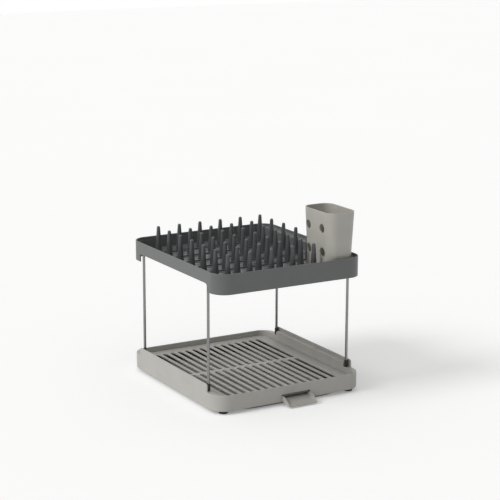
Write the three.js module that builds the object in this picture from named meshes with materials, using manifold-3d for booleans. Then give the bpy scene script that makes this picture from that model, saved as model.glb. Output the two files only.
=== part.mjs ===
// Two-tier dish rack: a low draining tray that carries a spiked plate tray on two wire leg frames.
import * as THREE from 'three';
import { mergeVertices } from 'three/addons/utils/BufferGeometryUtils.js';
import Module from 'manifold-3d';

const wasm = await Module();
wasm.setup();

// Lengths are millimetres. X runs along the spout side, Y goes back, Z is up.
// The origin is on the ground, below the middle of the whole rack with its spout out.

// Lower tray
const tray_width = 300;
const tray_depth = 332;
const tray_corner_radius = 28;
const tray_wall = 2.4;
const skirt_clearance = 6;
const skirt_height = 29;
const side_wall_rise = 14;
const side_shelf_drop = 5.3;
const side_wall_end_radius = 5;
const ledge_width = 5;
const basin_corner_radius = 12;
const basin_floor_height = 8.4;
const plinth_bottom = 2;
const plinth_corner_radius = 70;
const plinth_wall = 2.4;
const pocket_lip_reach = 7;

// Slotted drain panel, set down inside the rim
const panel_recess = 10;
const panel_thickness = 2.4;
const panel_side_gap = 0.4;
const slot_count = 15;
const slot_width = 10;
const slot_groups = 2;
const slot_cross_bar = 8;
const slot_end_margin = 22;
const slot_side_margin = 25;

// Spout
const spout_centre_x = 9.5;
const spout_width = 58;
const spout_wall = 2;
const spout_side_height = 9;
const spout_lip_height = 3;
const spout_inner_height = 3.5;
const spout_reach = 25;
const spout_full_height_reach = 8;
const spout_under_root = 8.3;
const spout_slope_degrees = 12;
const spout_side_gap = 0.5;
const spout_top_gap = 2.5;
const spout_stop_width = 3;
const spout_block_wall = 3;

// Rubber feet
const foot_radius = 8;
const foot_top_radius = 7;
const foot_inset_x = 21;
const foot_inset_y = 15;

// Wire legs and their plastic tips
const wire_radius = 2.5;
const wire_bend_radius = 9;
const wire_end_inset = 43;
const leg_length = 196;
const tip_wall = 0.6;
const tip_height = 12.5;
const tip_floor = 2;
const tip_room = 1;

// Upper tray
const upper_inset = 1.5;
const upper_depth_extra = 2;
const rim_height = 36.5;
const rim_wall = 2;
const side_cut_height = 14.5;
const side_cut_corner_radius = 5;
const side_cut_past_wire = 5;
const deck_below_rim = 25;
const deck_thickness = 2.5;
const shelf_width = 12.5;
const shelf_below_rim = 6.5;
const wire_inset = 5.5;
const wire_below_rim = 18.8;

// Clips that hold the wires under the shelves of the upper tray
const clip_length = 16;
const clip_height = 14;
const clip_inset = 43;

// Spike rows
const row_count = 7;
const spikes_per_row = 6;
const row_end_margin = 34.5;
const spike_side_margin = 25.25;
const spike_height = 50.7;
const spike_base_radius = 6.8;
const spike_tip_radius = 2.9;
const rail_height = 2;

// Drain slots of the upper deck
const deck_slot_width = 5;
const deck_slot_length = 58;
const deck_slot_columns = 3;
const deck_slot_column_pitch = 78;
const deck_slot_line_offset = 6.5;

// Cutlery cup
const cup_width = 59;
const cup_depth = 95.5;
const cup_height = 106.5;
const cup_corner_radius = 19;
const cup_wall = 2;
const cup_floor = 2.4;
const cup_taper_share = 0.13;
const cup_inset_x = 27;
const cup_inset_y = 49;
const cup_hole_radius = 8;
const cup_hole_low = 33.5;
const cup_hole_high = 76.5;
const cup_hole_spread = 22.3;
const cup_hole_shift = 2.8;
const cup_drain_radius = 2.5;
const cup_drain_pitch = 13;
const cup_drain_columns = 2;
const cup_drain_rows = 4;

// Clearances
const seat_gap = 0.3;
const wire_fit = 0.3;
const cut_margin = 4;
const weld = 0.0001;

// Facets of the round shapes
const corner_steps = 4;
const slot_end_steps = 2;
const round_steps = 20;
const hole_steps = 8;
const wire_steps = 6;
const bend_steps = 6;
const spike_steps = 12;
const spike_tip_steps = 2;

// Heights and places that follow from the sizes
const half = 1 / 2;
const full_turn = Math.PI * 2;
const quarter_turn = full_turn / 4;
const tray_half_x = tray_width * half;
const tray_half_y = tray_depth * half;
const rim_level = skirt_clearance + skirt_height;
const side_wall_top = rim_level + side_wall_rise;
const side_shelf_level = side_wall_top - side_shelf_drop;
const panel_level = rim_level - panel_recess;
const ledge_level = panel_level - panel_thickness - seat_gap;
const tip_radius = wire_radius + wire_fit + tip_wall;
const wire_half_span = tray_half_y - wire_end_inset;
const upper_half_x = tray_half_x - upper_inset;
const upper_half_y = tray_half_y + upper_depth_extra * half;
const wire_x = upper_half_x - wire_inset;
const side_wall_inner = wire_x - tip_radius - tip_room;
const recess_radius = tray_corner_radius - (tray_half_x - side_wall_inner);
const side_wall_end = wire_half_span - tip_radius - tip_room;
const lip_inner = wire_x + tip_radius + tip_room;
const lip_end = wire_half_span + pocket_lip_reach;
const basin_half_x = side_wall_inner - ledge_width;
const basin_half_y = tray_half_y - tray_wall - ledge_width;
const plinth_half_x = basin_half_x + tray_wall;
const plinth_half_y = basin_half_y + tray_wall;
const wire_level = rim_level + seat_gap + leg_length;
const upper_top = wire_level + wire_below_rim;
const upper_bottom = upper_top - rim_height;
const deck_level = upper_top - deck_below_rim;
const deck_under = deck_level - deck_thickness;
const shelf_level = upper_top - shelf_below_rim;
const shelf_under = shelf_level - rim_wall;
const pocket_half_x = upper_half_x - rim_wall - shelf_width;
const pocket_half_y = upper_half_y - rim_wall;
const pocket_radius = tray_corner_radius - rim_wall - shelf_width;
const slot_first_x = -side_wall_inner + slot_side_margin + slot_width * half;
const slot_pitch = -slot_first_x / half / (slot_count - 1);
const row_first_y = -pocket_half_y + row_end_margin;
const row_pitch = -row_first_y / half / (row_count - 1);
const spike_first_x = -pocket_half_x + spike_side_margin;
const spike_pitch = -spike_first_x / half / (spikes_per_row - 1);
const cup_back = -pocket_half_y + cup_inset_y + cup_depth * half;
const spout_slope = THREE.MathUtils.degToRad(spout_slope_degrees);
const spout_stop_place = (tray_wall + ledge_width + seat_gap
  + spout_inner_height * Math.sin(spout_slope)) / Math.cos(spout_slope);
const spout_front = tray_half_y + spout_reach * Math.cos(spout_slope)
  + spout_lip_height * Math.sin(spout_slope);
const back_shift = (spout_front - upper_half_y) * half;

// Looks
const taupe = 0xb4b1a8;
const light_taupe = 0xb3afa4;
const charcoal = 0x55585a;
const dark_spike = 0x3c3e41;
const steel = 0x9a9a98;
const black_rubber = 0x2a2a28;
const satin = 0.45;
const soft = 0.85;
const polished = 0.3;

function plastic(colour, roughness) {
  return new THREE.MeshStandardMaterial({ color: colour, roughness, metalness: 0 });
}

function metal(colour, roughness) {
  return new THREE.MeshStandardMaterial({ color: colour, roughness, metalness: 1 });
}

// A closed geometry as a solid that can be joined and cut
function solid(geometry) {
  const bare = geometry.clone();
  bare.deleteAttribute('normal');
  bare.deleteAttribute('uv');
  const joined = mergeVertices(bare, weld);
  const mesh = new wasm.Mesh({
    numProp: 3,
    vertProperties: new Float32Array(joined.attributes.position.array),
    triVerts: new Uint32Array(joined.index.array),
  });
  mesh.merge();
  return new wasm.Manifold(mesh);
}

function node(name, body, material) {
  const shape = body.getMesh();
  const geometry = new THREE.BufferGeometry();
  geometry.setAttribute('position', new THREE.BufferAttribute(shape.vertProperties, shape.numProp));
  geometry.setIndex(new THREE.BufferAttribute(shape.triVerts, 1));
  geometry.computeVertexNormals();
  const mesh = new THREE.Mesh(geometry, material);
  mesh.name = name;
  return mesh;
}

function rounded_rectangle(half_x, half_y, radius) {
  const shape = new THREE.Shape();
  const inner_x = half_x - radius;
  const inner_y = half_y - radius;
  shape.absarc(inner_x, -inner_y, radius, -quarter_turn, 0);
  shape.absarc(inner_x, inner_y, radius, 0, quarter_turn);
  shape.absarc(-inner_x, inner_y, radius, quarter_turn, Math.PI);
  shape.absarc(-inner_x, -inner_y, radius, Math.PI, Math.PI + quarter_turn);
  return shape;
}

// A flat outline raised from one height to another
function slab(shape, bottom, top, steps = corner_steps) {
  const options = { depth: top - bottom, bevelEnabled: false, curveSegments: steps };
  const geometry = new THREE.ExtrudeGeometry(shape, options);
  geometry.translate(0, 0, bottom);
  return solid(geometry);
}

function block(low, high) {
  const size = high.map((value, axis) => value - low[axis]);
  const geometry = new THREE.BoxGeometry(...size);
  geometry.translate(...high.map((value, axis) => (value + low[axis]) * half));
  return solid(geometry);
}

// An outline drawn in the Y-Z plane and carried along X
function side_slab(shape, left, right) {
  const options = { depth: right - left, bevelEnabled: false, curveSegments: corner_steps };
  const geometry = new THREE.ExtrudeGeometry(shape, options);
  geometry.rotateX(quarter_turn);
  geometry.rotateZ(quarter_turn);
  geometry.translate(left, 0, 0);
  return solid(geometry);
}

function union(bodies) {
  return bodies.reduce((joined, body) => joined.add(body));
}

function mirrored(body) {
  return body.mirror([1, 0, 0]);
}

// A long hole with round ends, with its length along X
function slot_outline(length, width) {
  const shape = new THREE.Shape();
  const radius = width * half;
  const reach = length * half - radius;
  shape.absarc(reach, 0, radius, -quarter_turn, quarter_turn);
  shape.absarc(-reach, 0, radius, quarter_turn, Math.PI + quarter_turn);
  return shape;
}

// Raised wall of one long side: a shelf behind the thin outer lip, which also guards the leg tips
function raised_side_wall() {
  const low = ledge_level - tray_wall;
  const length_of_wall = (half_length, top, inner) => {
    const outline = rounded_rectangle(half_length, (top - low) * half, side_wall_end_radius);
    return side_slab(outline, inner, tray_half_x).translate([0, 0, (top + low) * half]);
  };
  const shelf = length_of_wall(side_wall_end, side_shelf_level, side_wall_inner);
  const lip = length_of_wall(lip_end, side_wall_top, lip_inner);
  const below = block([0, -tray_depth, 0], [tray_width, tray_depth, low + side_wall_end_radius]);
  return shelf.add(lip).subtract(below);
}

// Hollow under the skirt and inside the raised walls, open to the ground
function skirt_hollow() {
  const outer = rounded_rectangle(
    tray_half_x - tray_wall, tray_half_y - tray_wall, tray_corner_radius - tray_wall);
  const inner = rounded_rectangle(plinth_half_x, plinth_half_y, basin_corner_radius + tray_wall);
  const recess_wall = rounded_rectangle(
    side_wall_inner + tray_wall, tray_half_y, recess_radius + tray_wall);
  const bottom = skirt_clearance - cut_margin;
  const ring = slab(outer, bottom, ledge_level - tray_wall)
    .subtract(slab(inner, bottom - tray_wall, ledge_level));
  const shoulders = slab(outer, bottom, rim_level - tray_wall)
    .subtract(slab(recess_wall, bottom - tray_wall, rim_level));
  const wall_hollow = block(
    [side_wall_inner + tray_wall, -side_wall_end + tray_wall, skirt_clearance + tray_wall],
    [lip_inner, side_wall_end - tray_wall, side_shelf_level - tray_wall]);
  const spout_half = spout_width * half + spout_side_gap + spout_block_wall;
  const spout_block = block(
    [spout_centre_x - spout_half, -tray_depth, 0],
    [spout_centre_x + spout_half, 0, side_wall_top]);
  return union([ring.subtract(spout_block), shoulders, wall_hollow, mirrored(wall_hollow)]);
}

// Places a body drawn with the spout level, its outside wall line at Y = 0 and its underside at Z = 0
function on_spout_line(body) {
  return body.rotate([spout_slope_degrees, 0, 0])
    .translate([spout_centre_x, -tray_half_y, spout_under_root]);
}

function spout_window() {
  const half_width = spout_width * half + spout_side_gap;
  const opening = block(
    [-half_width, -spout_reach, -spout_side_gap],
    [half_width, spout_reach, spout_side_height + spout_top_gap]);
  const wall_zone = block(
    [-tray_width, -tray_half_y - cut_margin, 0],
    [tray_width, -basin_half_y + cut_margin, ledge_level]);
  return on_spout_line(opening).intersect(wall_zone);
}

function drip_tray() {
  const skirt = slab(
    rounded_rectangle(tray_half_x, tray_half_y, tray_corner_radius), skirt_clearance, rim_level);
  const plinth = slab(
    rounded_rectangle(plinth_half_x, plinth_half_y, plinth_corner_radius),
    plinth_bottom, skirt_clearance + tray_wall * half);
  const recess = slab(
    rounded_rectangle(side_wall_inner, tray_half_y - tray_wall, recess_radius),
    ledge_level, side_wall_top + cut_margin);
  const basin = slab(
    rounded_rectangle(basin_half_x, basin_half_y, basin_corner_radius),
    basin_floor_height, ledge_level + tray_wall);
  const sump = slab(
    rounded_rectangle(
      plinth_half_x - plinth_wall - tray_wall, plinth_half_y - plinth_wall - tray_wall,
      plinth_corner_radius - plinth_wall - tray_wall),
    plinth_bottom + plinth_wall, basin_floor_height + tray_wall);
  const wall = raised_side_wall();
  return union([skirt, plinth, wall, mirrored(wall)])
    .subtract(union([skirt_hollow(), recess, basin, sump, spout_window()]));
}

function drain_slots() {
  const half_depth = tray_half_y - tray_wall - panel_side_gap;
  const run = half_depth - slot_end_margin;
  const length = (run / half - slot_cross_bar * (slot_groups - 1)) / slot_groups;
  const slots = [];
  for (let column = 0; column < slot_count; column += 1) {
    for (let group = 0; group < slot_groups; group += 1) {
      const centre_y = -run + length * half + group * (length + slot_cross_bar);
      const slot = slab(
        slot_outline(length, slot_width), ledge_level - cut_margin, panel_level + cut_margin,
        slot_end_steps);
      slots.push(slot.rotate([0, 0, THREE.MathUtils.radToDeg(quarter_turn)])
        .translate([slot_first_x + column * slot_pitch, centre_y, 0]));
    }
  }
  return union(slots);
}

function drain_panel() {
  const outline = rounded_rectangle(
    side_wall_inner - panel_side_gap, tray_half_y - tray_wall - panel_side_gap,
    recess_radius - panel_side_gap);
  const sheet = slab(outline, ledge_level + seat_gap, panel_level);
  return sheet.subtract(drain_slots());
}

// Side view of the chute: Y is distance in from the outside of the wall, Z is its height
function spout_profile() {
  const shape = new THREE.Shape();
  const inner_end = spout_stop_place + spout_wall;
  shape.moveTo(inner_end, 0);
  shape.lineTo(inner_end, spout_inner_height);
  shape.lineTo(0, spout_side_height);
  shape.lineTo(-spout_full_height_reach, spout_side_height);
  shape.lineTo(-spout_reach, spout_lip_height);
  shape.lineTo(-spout_reach, 0);
  return shape;
}

// An open chute whose inner end is widened, so that it can't be pulled right out
function spout() {
  const outer_half = spout_width * half;
  const inner_half = outer_half - spout_wall;
  const stop_half = outer_half + spout_stop_width;
  const chute = side_slab(spout_profile(), -outer_half, outer_half);
  const stop = block(
    [-stop_half, spout_stop_place, 0],
    [stop_half, spout_stop_place + spout_wall, spout_inner_height]);
  const channel = block(
    [-inner_half, -spout_reach - cut_margin, spout_wall],
    [inner_half, spout_stop_place + cut_margin, spout_side_height + cut_margin]);
  return on_spout_line(chute.add(stop).subtract(channel));
}

function foot_pad() {
  const top = skirt_clearance - seat_gap;
  const edge = foot_radius - foot_top_radius;
  const profile = [
    new THREE.Vector2(0, 0),
    new THREE.Vector2(foot_top_radius, 0),
    new THREE.Vector2(foot_radius, edge),
    new THREE.Vector2(foot_radius, top),
    new THREE.Vector2(0, top),
  ];
  return lathe(profile, round_steps);
}

// A profile of radius and height turned about the Z axis
function lathe(profile, steps) {
  const geometry = new THREE.LatheGeometry(profile, steps);
  geometry.rotateX(quarter_turn);
  return solid(geometry);
}

// A curve that steps through a list of points, one point to each step
class PointPath extends THREE.Curve {
  constructor(points) {
    super();
    this.points = points;
  }

  getPoint(share, target = new THREE.Vector3()) {
    const place = share * (this.points.length - 1);
    const before = Math.min(Math.floor(place), this.points.length - 2);
    return target.lerpVectors(this.points[before], this.points[before + 1], place - before);
  }

  getPointAt(share, target) {
    return this.getPoint(share, target);
  }

  getTangentAt(share, target = new THREE.Vector3()) {
    const step = 1 / (this.points.length - 1);
    const before = this.getPoint(Math.max(share - step, 0));
    const after = this.getPoint(Math.min(share + step, 1));
    return target.subVectors(after, before).normalize();
  }
}

// Centre line of one leg frame: up from the front tip, along under the shelf and down at the back
function leg_points() {
  const foot = rim_level + seat_gap + tip_floor + wire_fit;
  const points = [new THREE.Vector3(0, -wire_half_span, foot)];
  for (const side of [-1, 1]) {
    for (let step = 0; step <= bend_steps; step += 1) {
      const angle = quarter_turn * (side < 0 ? 1 - step / bend_steps : step / bend_steps);
      points.push(new THREE.Vector3(
        0,
        side * (wire_half_span - wire_bend_radius + wire_bend_radius * Math.sin(angle)),
        wire_level - wire_bend_radius + wire_bend_radius * Math.cos(angle)));
    }
  }
  points.push(new THREE.Vector3(0, wire_half_span, foot));
  return points;
}

function leg_wire() {
  const points = leg_points();
  const section = new THREE.Shape();
  section.absarc(0, 0, wire_radius, 0, full_turn);
  const geometry = new THREE.ExtrudeGeometry(section, {
    steps: points.length - 1, curveSegments: wire_steps, bevelEnabled: false,
    extrudePath: new PointPath(points),
  });
  return solid(geometry);
}

function leg_tip() {
  const bore = wire_radius + wire_fit;
  const profile = [
    new THREE.Vector2(0, 0),
    new THREE.Vector2(tip_radius - tip_wall, 0),
    new THREE.Vector2(tip_radius, tip_wall),
    new THREE.Vector2(tip_radius, tip_height),
    new THREE.Vector2(bore, tip_height),
    new THREE.Vector2(bore, tip_floor),
    new THREE.Vector2(0, tip_floor),
  ];
  return lathe(profile, round_steps).translate([0, 0, rim_level + seat_gap]);
}

// Block between the rim and the pocket wall with a round bore in which the wire turns
function wire_clip() {
  const bore = wire_radius + wire_fit;
  const inner_reach = shelf_width - (wire_inset - rim_wall) - rim_wall - seat_gap;
  const outer_reach = wire_inset - rim_wall - seat_gap;
  const top = shelf_under - seat_gap;
  const body = block(
    [-inner_reach, -clip_length * half, top - clip_height],
    [outer_reach, clip_length * half, top]);
  const tool = new THREE.CylinderGeometry(bore, bore, clip_length + cut_margin, round_steps);
  tool.translate(0, 0, wire_level);
  return body.subtract(solid(tool));
}

function side_cut_out() {
  const top = upper_bottom + side_cut_height;
  const low = upper_bottom - side_cut_height;
  const outline = rounded_rectangle(
    wire_half_span + side_cut_past_wire, (top - low) * half, side_cut_corner_radius);
  return side_slab(outline, upper_half_x - rim_wall - cut_margin * half, upper_half_x + cut_margin)
    .translate([0, 0, (top + low) * half]);
}

function deck_slots() {
  const slots = [];
  const middle_column = (deck_slot_columns - 1) * half;
  for (let gap = 0; gap < row_count - 1; gap += 1) {
    for (let column = 0; column < deck_slot_columns; column += 1) {
      for (const side of [-1, 1]) {
        const slot = slab(
          slot_outline(deck_slot_length, deck_slot_width), deck_under - cut_margin,
          deck_level + cut_margin, slot_end_steps);
        slots.push(slot.translate([
          (column - middle_column) * deck_slot_column_pitch,
          row_first_y + (gap + half) * row_pitch + side * deck_slot_line_offset, 0]));
      }
    }
  }
  return union(slots);
}

// A deep tray with thin walls; a shelf along each side covers the channel of the leg wire
function upper_tray() {
  const outline = (inset) => rounded_rectangle(
    upper_half_x - inset, upper_half_y - inset, tray_corner_radius - inset);
  const below = upper_bottom - cut_margin;
  const whole = slab(outline(0), upper_bottom, upper_top);
  const above_shelves = slab(outline(rim_wall), shelf_level, upper_top + cut_margin);
  const pocket = slab(
    rounded_rectangle(pocket_half_x, pocket_half_y, pocket_radius), deck_level, upper_top);
  const pocket_outside = rounded_rectangle(
    pocket_half_x + rim_wall, upper_half_y, pocket_radius + rim_wall);
  const channels = slab(outline(rim_wall), below, shelf_under)
    .subtract(slab(pocket_outside, below - cut_margin, upper_top));
  const underside = slab(outline(rim_wall), below, deck_under);
  const cut_out = side_cut_out();
  return whole.subtract(union([
    above_shelves, pocket, channels, underside, cut_out, mirrored(cut_out), deck_slots()]));
}

function spike() {
  const profile = [new THREE.Vector2(0, 0), new THREE.Vector2(spike_base_radius, 0)];
  for (let step = 0; step <= spike_tip_steps; step += 1) {
    const angle = quarter_turn * step / spike_tip_steps;
    profile.push(new THREE.Vector2(
      spike_tip_radius * Math.cos(angle),
      spike_height - spike_tip_radius + spike_tip_radius * Math.sin(angle)));
  }
  profile[profile.length - 1].x = 0;
  return lathe(profile, spike_steps);
}

// A row of spikes on a low rail; spikes that would stand under the cup are left out
function spike_row(row) {
  const row_y = row_first_y + row * row_pitch;
  const beside_cup = row_y - spike_base_radius < cup_back;
  const count = beside_cup ? spikes_per_row - 1 : spikes_per_row;
  const length = (count - 1) * spike_pitch;
  const rail = slab(
    slot_outline(length + spike_base_radius / half, spike_base_radius / half), 0, rail_height,
    corner_steps);
  const bodies = [rail.translate([spike_first_x + length * half, 0, 0])];
  for (let column = 0; column < count; column += 1) {
    bodies.push(spike().translate([spike_first_x + column * spike_pitch, 0, 0]));
  }
  return union(bodies).translate([0, row_y, deck_level + seat_gap]);
}

// An upright rounded box that narrows towards its foot
function tapered_box(half_x, half_y, radius, bottom, top) {
  const shape = rounded_rectangle(half_x, half_y, radius);
  const options = { depth: top - bottom, bevelEnabled: false, curveSegments: corner_steps };
  const geometry = new THREE.ExtrudeGeometry(shape, options);
  geometry.translate(0, 0, bottom);
  const place = geometry.attributes.position;
  for (let vertex = 0; vertex < place.count; vertex += 1) {
    const share = 1 - cup_taper_share * (1 - place.getZ(vertex) / cup_height);
    place.setXY(vertex, place.getX(vertex) * share, place.getY(vertex) * share);
  }
  return solid(geometry);
}

function cup_side_holes() {
  const holes = [];
  for (const height of [cup_hole_low, cup_hole_high]) {
    for (const side of [-1, 1]) {
      const tool = new THREE.CylinderGeometry(
        cup_hole_radius, cup_hole_radius, cup_width + cut_margin, round_steps);
      tool.rotateZ(quarter_turn);
      tool.translate(0, cup_hole_shift + side * cup_hole_spread, height);
      holes.push(solid(tool));
    }
  }
  return union(holes);
}

function cup_drain_holes() {
  const holes = [];
  for (let column = 0; column < cup_drain_columns; column += 1) {
    for (let row = 0; row < cup_drain_rows; row += 1) {
      const tool = new THREE.CylinderGeometry(
        cup_drain_radius, cup_drain_radius, cup_floor + cut_margin, hole_steps);
      tool.rotateX(quarter_turn);
      tool.translate(
        (column - (cup_drain_columns - 1) * half) * cup_drain_pitch,
        (row - (cup_drain_rows - 1) * half) * cup_drain_pitch, cup_floor * half);
      holes.push(solid(tool));
    }
  }
  return union(holes);
}

function cutlery_cup() {
  const half_x = cup_width * half;
  const half_y = cup_depth * half;
  const shell = tapered_box(half_x, half_y, cup_corner_radius, 0, cup_height);
  const inside = tapered_box(
    half_x - cup_wall, half_y - cup_wall, cup_corner_radius - cup_wall,
    cup_floor, cup_height + cut_margin);
  return shell.subtract(inside).subtract(cup_side_holes()).subtract(cup_drain_holes())
    .translate([pocket_half_x - cup_inset_x, cup_inset_y - pocket_half_y, deck_level + seat_gap]);
}

const rack = new THREE.Group();
const parts = new THREE.Group();
parts.position.y = back_shift;
rack.add(parts);

const taupe_plastic = plastic(taupe, satin);
const cup_plastic = plastic(light_taupe, satin);
const charcoal_plastic = plastic(charcoal, satin);
const spike_plastic = plastic(dark_spike, satin);
const tip_plastic = plastic(black_rubber, satin);
const pad_rubber = plastic(black_rubber, soft);
const leg_steel = metal(steel, polished);

parts.add(node('drip_tray', drip_tray(), taupe_plastic));
parts.add(node('drain_panel', drain_panel(), taupe_plastic));
parts.add(node('drain_spout', spout(), taupe_plastic));
parts.add(node('upper_tray', upper_tray(), charcoal_plastic));
parts.add(node('cutlery_cup', cutlery_cup(), cup_plastic));

for (let row = 0; row < row_count; row += 1) {
  parts.add(node(`spike_row_${row + 1}`, spike_row(row), spike_plastic));
}

for (const [side, x_sign] of [['left', -1], ['right', 1]]) {
  parts.add(node(`${side}_leg_wire`, leg_wire().translate([x_sign * wire_x, 0, 0]), leg_steel));
  for (const [end, y_sign] of [['front', -1], ['back', 1]]) {
    const tip = leg_tip().translate([x_sign * wire_x, y_sign * wire_half_span, 0]);
    parts.add(node(`${side}_${end}_leg_tip`, tip, tip_plastic));
    const holder = x_sign < 0 ? mirrored(wire_clip()) : wire_clip();
    const clip = holder.translate([x_sign * wire_x, y_sign * (wire_half_span - clip_inset), 0]);
    parts.add(node(`${side}_${end}_wire_clip`, clip, charcoal_plastic));
    const foot = foot_pad().translate([
      x_sign * (tray_half_x - foot_inset_x), y_sign * (tray_half_y - foot_inset_y), 0]);
    parts.add(node(`${side}_${end}_foot_pad`, foot, pad_rubber));
  }
}

export default rack;
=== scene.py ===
import math

import bmesh
import bpy
from bpy.props import FloatProperty, FloatVectorProperty, IntProperty, PointerProperty
from mathutils import Matrix, Vector


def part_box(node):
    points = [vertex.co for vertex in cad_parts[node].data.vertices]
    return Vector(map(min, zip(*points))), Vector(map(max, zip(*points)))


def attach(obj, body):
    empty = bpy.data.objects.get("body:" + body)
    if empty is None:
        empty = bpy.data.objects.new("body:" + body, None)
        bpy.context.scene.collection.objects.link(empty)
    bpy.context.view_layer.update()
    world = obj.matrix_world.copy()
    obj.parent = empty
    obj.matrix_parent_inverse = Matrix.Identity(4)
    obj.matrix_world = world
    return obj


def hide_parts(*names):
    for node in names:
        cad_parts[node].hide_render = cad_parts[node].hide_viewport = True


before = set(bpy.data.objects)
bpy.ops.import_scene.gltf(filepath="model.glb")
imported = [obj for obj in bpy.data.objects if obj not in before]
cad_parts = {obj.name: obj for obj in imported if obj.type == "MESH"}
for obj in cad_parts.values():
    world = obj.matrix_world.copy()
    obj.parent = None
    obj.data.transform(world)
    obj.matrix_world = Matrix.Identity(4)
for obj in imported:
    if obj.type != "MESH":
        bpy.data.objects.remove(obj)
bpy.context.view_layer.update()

bl_info = {
    "name": "Two-tier dish rack",
    "version": (1, 0, 0),
    "blender": (4, 5, 0),
    "location": "3D View > Sidebar > Dish rack",
    "description": "Builds the trays, spikes, cup, legs and spout of a two-tier dish rack",
    "category": "Mesh",
}

TRAY, PANEL, SPOUT, UPPER, CUP, WIRE, TIP = [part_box(node) for node in (
    "drip_tray", "drain_panel", "drain_spout", "upper_tray", "cutlery_cup", "right_leg_wire",
    "right_front_leg_tip")]
MIDDLE_Y = (TRAY[0].y + TRAY[1].y) / 2
PLAY = 0.0003  # between pieces that lie or turn in one another
RIM_LEVEL = TIP[0].z - PLAY
SIDES = (("left", -1), ("right", 1))
ENDS = ("front", "back")
CORNERS = [(side, end, sign) for side, sign in SIDES for end in ENDS]
WHITE = (1.0, 1.0, 1.0, 1.0)
WATER_MARK = (0.62, 0.62, 0.60, 1.0)
DULL_WATER_MARK = (0.4, 0.4, 0.38, 1.0)


def length(name, description, default):
    """A length that a user can change, in metres."""
    return FloatProperty(name=name, description=description, default=default, min=0.0,
                         precision=4, unit="LENGTH")


def colour(name, description, default):
    """A linear colour that a user can change."""
    return FloatVectorProperty(name=name, description=description, default=default, size=3,
                               subtype="COLOR", min=0.0, max=1.0)


class RackSizes(bpy.types.PropertyGroup):
    """Sizes of the moulded details."""

    corner_radius: length("Tray corner", "Corner radius of both trays", 0.028)
    edge_radius: length("Moulded edge", "Rounding of the moulded edges", 0.0009)
    wall: length("Tray wall", "Wall thickness of the lower tray", 0.0024)
    ledge: length("Ledge", "Width of the ledge under the panel", 0.005)
    skirt_clearance: length("Skirt clearance", "Skirt above the worktop", 0.006)
    plinth_corner: length("Plinth corner", "Corner radius of the plinth", 0.070)
    basin_corner: length("Basin corner", "Corner radius of the basin", 0.0121)
    side_wall_inner: length("Side wall place", "Inner face of the side walls", 0.1386)
    side_wall_end: length("Side wall end", "End of the side walls", 0.1186)
    lip_inner: length("Lip place", "Inner face of the thin lips", 0.1474)
    lip_end: length("Lip end", "End of the thin lips", 0.130)
    shelf_drop: length("Shelf drop", "Side wall's shelf below the lip", 0.0053)
    basin_depth: length("Basin floor", "Basin floor above the worktop", 0.0084)
    slot_width: length("Slot width", "Width of the panel's slots", 0.010)
    slot_side_margin: length("Side margin", "Plain strip beside the slots", 0.025)
    slot_end_margin: length("End margin", "Plain strip before the slots", 0.022)
    slot_count: IntProperty(name="Slots", description="Slots from left to right", default=15,
                            min=2)
    slot_bar: length("Cross bar", "Width of the panel's middle bar", 0.008)
    rim_wall: length("Rim wall", "Wall thickness of the upper tray", 0.002)
    side_shelf: length("Side shelf", "Width of the upper tray's side shelves", 0.0125)
    shelf_depth: length("Shelf depth", "Side shelves below the rim", 0.0065)
    deck_depth: length("Deck depth", "Upper deck below the rim", 0.025)
    deck_thickness: length("Deck thickness", "Thickness of the upper deck", 0.0025)
    cut_height: length("Cut-out height", "Height of the side cut-outs", 0.0145)
    cut_half_span: length("Cut-out half span", "Half the length of the side cut-outs", 0.128)
    cut_corner: length("Cut-out corner", "Corner radius of the side cut-outs", 0.005)
    deck_slot_width: length("Deck slot width", "Width of the deck's slots", 0.005)
    deck_slot_length: length("Deck slot length", "Length of the deck's slots", 0.058)
    deck_slot_step: length("Deck slot step", "From slot to slot in a line", 0.078)
    deck_line_offset: length("Deck line offset", "Slot lines from the middle of a gap", 0.0065)
    row_step: length("Row step", "From row to row and spike to spike", 0.0435)
    spike_foot: length("Spike foot", "Radius of a spike at its foot", 0.0068)
    spike_tip: length("Spike tip", "Radius of a spike at its tip", 0.0029)
    rail_height: length("Rail height", "Height of the rail under a row", 0.002)
    wire: length("Wire radius", "Radius of the steel wire", 0.0025)
    wire_bend: length("Wire bend", "Radius of the bends in the wire", 0.009)
    cup_corner: length("Cup corner", "Corner radius of the cutlery cup", 0.019)
    cup_wall: length("Cup wall", "Wall thickness of the cutlery cup", 0.002)
    cup_hole: length("Cup hole", "Radius of the round holes in the cup", 0.008)
    cup_hole_low: length("Lower cup holes", "Height of the lower holes in the cup", 0.0335)
    cup_hole_rise: length("Cup hole rise", "From the lower to the upper holes", 0.043)
    cup_hole_step: length("Cup hole step", "Between the holes of one height", 0.0446)
    cup_hole_front: length("Front cup holes", "Front holes from the cup's middle", 0.0195)
    cup_drain: length("Cup drain", "Radius of the drain holes under the cup", 0.0025)
    cup_drain_step: length("Cup drain step", "Between the drain holes", 0.013)
    cup_taper: FloatProperty(name="Cup taper", description="Narrowing of the cup to its foot",
                             default=0.13, min=0.0, max=0.5)
    spout_wall: length("Spout wall", "Wall thickness of the spout", 0.002)
    spout_height: length("Spout height", "Height of the spout's sides", 0.009)
    spout_inner_height: length("Inner height", "Height of the spout's end in the tray", 0.0035)
    spout_root: length("Spout root", "Height of the spout at the front wall", 0.0083)
    spout_slope: FloatProperty(name="Spout slope", description="Fall of the spout",
                               unit="ROTATION", default=math.radians(12), min=0.0, max=1.0)


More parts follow.
